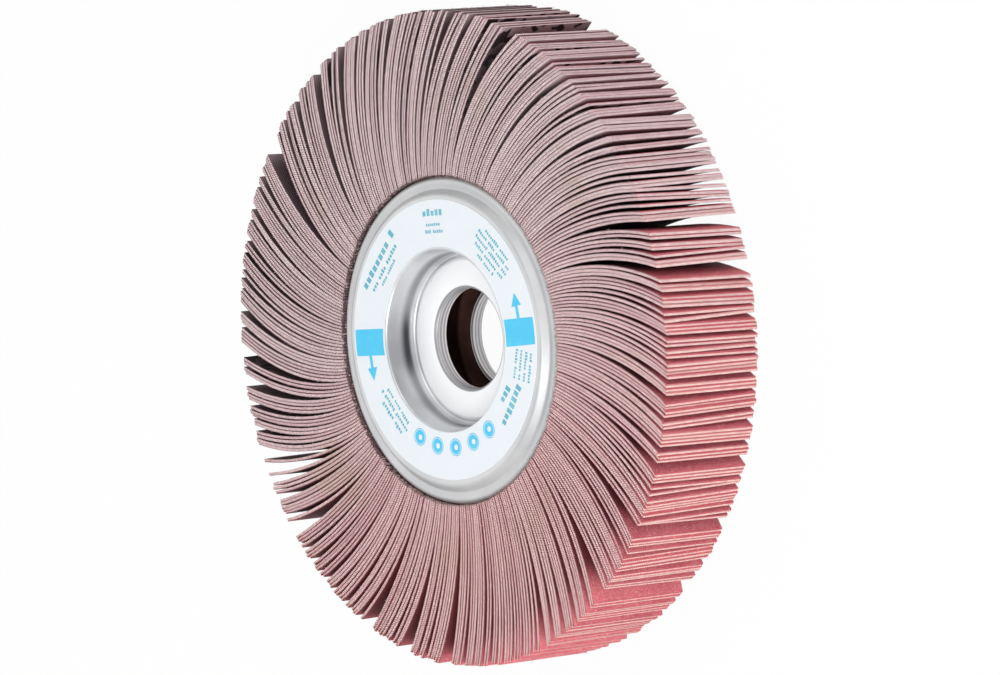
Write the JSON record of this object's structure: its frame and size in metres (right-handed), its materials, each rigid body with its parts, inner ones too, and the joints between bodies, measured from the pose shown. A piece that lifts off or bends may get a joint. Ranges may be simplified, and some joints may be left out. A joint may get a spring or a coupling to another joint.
{
  "type": "flap wheel",
  "caption": "Abrasive flap wheel: curved cloth flaps on a bonded core between two pressed steel flanges with a central bore, for surface grinding.",
  "frame": {"origin": "bottom centre: on the wheel's axis, in the plane of the lower flange's plate, which the wheel lies on", "axes": "+Z along the bore axis, out of the labelled flange; +X is the side that the picture is taken from, +Y is up in the picture"},
  "size_m": [0.1653, 0.1653, 0.0322],
  "materials": {
    "abrasive_cloth": "woven cotton backing with fine red grit on one side",
    "flange_steel": "satin pressed sheet",
    "label_paper": "printed paper"
  },
  "bodies": {
    "root": {"bonded_flap_pack": "abrasive_cloth", "front_flange": "flange_steel", "rear_flange": "flange_steel", "front_label": "label_paper"}
  },
  "joints": []
}
